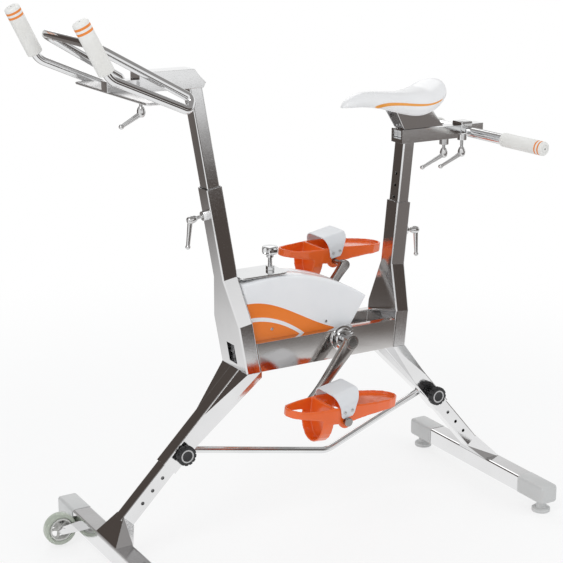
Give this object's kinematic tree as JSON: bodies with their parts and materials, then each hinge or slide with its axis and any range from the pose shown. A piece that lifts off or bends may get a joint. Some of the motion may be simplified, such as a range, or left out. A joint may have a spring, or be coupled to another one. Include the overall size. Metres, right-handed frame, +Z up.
{
  "type": "aqua bike",
  "caption": "Steel pool exercise bike on two crossbar stands, with shoe pedals, a covered belt drive, sliding saddle and handlebar, and transport wheels.",
  "frame": {"origin": "centre of the bike's box, on the floor under it", "axes": "+Z up from the floor, +X from the handlebar towards the rear handle, -Y to the rider's left"},
  "size_m": [1.1748, 0.554, 1.239],
  "materials": {
    "satin_steel": "satin",
    "polished_steel": "polished",
    "dark_steel": "polished, with dark reflections",
    "cover_white": "gloss, with an orange band and a white stripe",
    "saddle_white": "gloss, with a thin orange line",
    "grip_white": "matte, with two orange rings",
    "pedal_orange": "gloss",
    "strap_grey": "matte",
    "knob_black": "matte, with a grey face",
    "bush_black": "matte",
    "tyre_green": "satin, slightly see-through",
    "hub_white": "satin",
    "cap_grey": "satin",
    "foot_grey": "matte",
    "belt_black": "matte",
    "pad_black": "matte"
  },
  "bodies": {
    "frame": {"front_column": "satin_steel", "rear_column": "satin_steel", "left_rail": "dark_steel", "right_rail": "dark_steel", "front_leg_tube": "satin_steel", "rear_leg_tube": "satin_steel", "brace_rod": "polished_steel", "bridge_plate": "polished_steel", "front_post_bush": "bush_black", "rear_post_bush": "bush_black", "cover_left": "cover_white", "cover_right": "cover_white", "bearing_left": "polished_steel", "bearing_right": "polished_steel", "belt": "belt_black", "brake_carrier": "satin_steel"},
    "cranks": {"crank_axle": "satin_steel", "crank_left": "dark_steel", "crank_right": "dark_steel", "drive_pulley": "satin_steel"},
    "left_pedal": {"pedal_left": "pedal_orange", "strap_left": "strap_grey"},
    "right_pedal": {"pedal_right": "pedal_orange", "strap_right": "strap_grey"},
    "drum": {"brake_drum": "satin_steel"},
    "pad": {"brake_pad": "pad_black"},
    "resistance_screw": {"resistance_knob": "polished_steel"},
    "front_post_body": {"front_post": "polished_steel"},
    "front_post_clamp": {"front_post_lever": "polished_steel"},
    "handlebar_body": {"handlebar_slide": "polished_steel", "handlebar": "polished_steel", "grip_left": "grip_white", "grip_right": "grip_white"},
    "handlebar_clamp": {"handlebar_lever": "polished_steel"},
    "saddle_post_body": {"saddle_post": "polished_steel"},
    "saddle_post_clamp": {"saddle_post_lever": "polished_steel"},
    "saddle_body": {"saddle_slide": "polished_steel", "saddle_bracket": "satin_steel", "saddle": "saddle_white"},
    "saddle_clamp": {"saddle_lever": "polished_steel"},
    "rear_handle_body": {"rear_handle": "polished_steel", "rear_grip_left": "grip_white", "rear_grip_right": "grip_white"},
    "rear_handle_clamp": {"rear_handle_lever": "polished_steel"},
    "front_stand_body": {"front_stand": "satin_steel", "front_cap_left": "cap_grey", "front_cap_right": "cap_grey"},
    "rear_stand_body": {"rear_stand": "satin_steel", "rear_cap_left": "cap_grey", "rear_cap_right": "cap_grey"},
    "left_wheel": {"wheel_hub_left": "hub_white", "wheel_tyre_left": "tyre_green"},
    "right_wheel": {"wheel_hub_right": "hub_white", "wheel_tyre_right": "tyre_green"},
    "front_left_foot": {"front_foot_left": "foot_grey"},
    "front_right_foot": {"front_foot_right": "foot_grey"},
    "rear_left_foot": {"rear_foot_left": "foot_grey"},
    "rear_right_foot": {"rear_foot_right": "foot_grey"},
    "front_pin": {"front_pin_knob": "knob_black"},
    "rear_pin": {"rear_pin_knob": "knob_black"}
  },
  "joints": [
    {"name": "crank_spin", "type": "hinge", "parent": "frame", "child": "cranks", "pos_m": [0.10009, 0, 0.466], "axis": [0, 1, 0], "continuous": true},
    {"name": "left_pedal_spin", "type": "hinge", "parent": "cranks", "child": "left_pedal", "pos_m": [-0.00296, -0.19, 0.341], "axis": [0, 1, 0], "continuous": true},
    {"name": "right_pedal_spin", "type": "hinge", "parent": "cranks", "child": "right_pedal", "pos_m": [0.20314, 0.19, 0.591], "axis": [0, 1, 0], "continuous": true},
    {"name": "drum_spin", "type": "hinge", "parent": "frame", "child": "drum", "pos_m": [-0.05291, 0, 0.535], "axis": [0, 1, 0], "continuous": true},
    {"name": "resistance_turn", "type": "hinge", "parent": "frame", "child": "resistance_screw", "pos_m": [-0.05791, 0, 0.683], "axis": [0, 0, -1], "range_deg": [0, 360]},
    {"name": "pad_press", "type": "slide", "parent": "frame", "child": "pad", "axis": [0, 0, -1], "range_m": [0, 0.0015]},
    {"name": "front_post_height", "type": "slide", "parent": "frame", "child": "front_post_body", "axis": [-0.1736, 0, 0.9848], "range_m": [-0.15, 0.05]},
    {"name": "front_post_clamp_turn", "type": "hinge", "parent": "frame", "child": "front_post_clamp", "pos_m": [-0.21705, 0, 0.78306], "axis": [-0.9848, 0, -0.1736], "range_deg": [-60, 60]},
    {"name": "handlebar_reach", "type": "slide", "parent": "front_post_body", "child": "handlebar_body", "axis": [1, 0, 0], "range_m": [-0.06, 0.01]},
    {"name": "handlebar_clamp_turn", "type": "hinge", "parent": "front_post_body", "child": "handlebar_clamp", "pos_m": [-0.36791, 0, 1.065], "axis": [0, 0, -1], "range_deg": [-60, 60]},
    {"name": "saddle_post_height", "type": "slide", "parent": "frame", "child": "saddle_post_body", "axis": [0.0941, 0, 0.9956], "range_m": [-0.12, 0.05]},
    {"name": "saddle_post_clamp_turn", "type": "hinge", "parent": "frame", "child": "saddle_post_clamp", "pos_m": [0.30441, 0, 0.68501], "axis": [0.9956, 0, -0.0941], "range_deg": [-60, 60]},
    {"name": "saddle_reach", "type": "slide", "parent": "saddle_post_body", "child": "saddle_body", "axis": [1, 0, 0], "range_m": [-0.01, 0.06]},
    {"name": "saddle_clamp_turn", "type": "hinge", "parent": "saddle_post_body", "child": "saddle_clamp", "pos_m": [0.41909, 0, 0.897], "axis": [0, 0, -1], "range_deg": [-60, 60]},
    {"name": "rear_handle_reach", "type": "slide", "parent": "saddle_body", "child": "rear_handle_body", "axis": [1, 0, 0], "range_m": [0, 0.025]},
    {"name": "rear_handle_clamp_turn", "type": "hinge", "parent": "rear_handle_body", "child": "rear_handle_clamp", "pos_m": [0.47209, 0, 0.903], "axis": [0, 0, -1], "range_deg": [-60, 60]},
    {"name": "front_stand_height", "type": "slide", "parent": "frame", "child": "front_stand_body", "axis": [0.7071, 0, 0.7071], "range_m": [0, 0.1068]},
    {"name": "rear_stand_height", "type": "slide", "parent": "frame", "child": "rear_stand_body", "axis": [-0.6481, 0, 0.7615], "range_m": [0, 0.1155]},
    {"name": "left_wheel_spin", "type": "hinge", "parent": "front_stand_body", "child": "left_wheel", "pos_m": [-0.52491, -0.165, 0.043], "axis": [0, 1, 0], "continuous": true},
    {"name": "right_wheel_spin", "type": "hinge", "parent": "front_stand_body", "child": "right_wheel", "pos_m": [-0.52491, 0.165, 0.043], "axis": [0, 1, 0], "continuous": true},
    {"name": "front_left_foot_turn", "type": "hinge", "parent": "front_stand_body", "child": "front_left_foot", "pos_m": [-0.46191, -0.246, 0], "axis": [0, 0, 1], "range_deg": [-180, 180]},
    {"name": "front_right_foot_turn", "type": "hinge", "parent": "front_stand_body", "child": "front_right_foot", "pos_m": [-0.46191, 0.246, 0], "axis": [0, 0, 1], "range_deg": [-180, 180]},
    {"name": "rear_left_foot_turn", "type": "hinge", "parent": "rear_stand_body", "child": "rear_left_foot", "pos_m": [0.56309, -0.246, 0], "axis": [0, 0, 1], "range_deg": [-180, 180]},
    {"name": "rear_right_foot_turn", "type": "hinge", "parent": "rear_stand_body", "child": "rear_right_foot", "pos_m": [0.56309, 0.246, 0], "axis": [0, 0, 1], "range_deg": [-180, 180]},
    {"name": "front_pin_pull", "type": "slide", "parent": "frame", "child": "front_pin", "axis": [0, -1, 0], "range_m": [0, 0.012], "stiffness_N_per_m": 400, "springref_m": -0.01},
    {"name": "rear_pin_pull", "type": "slide", "parent": "frame", "child": "rear_pin", "axis": [0, -1, 0], "range_m": [0, 0.012], "stiffness_N_per_m": 400, "springref_m": -0.01}
  ],
  "couplings": [
    {"joint": "drum_spin", "follows": "crank_spin", "ratio": 2},
    {"joint": "pad_press", "follows": "resistance_turn", "m_per_rad": 0.00023873}
  ]
}
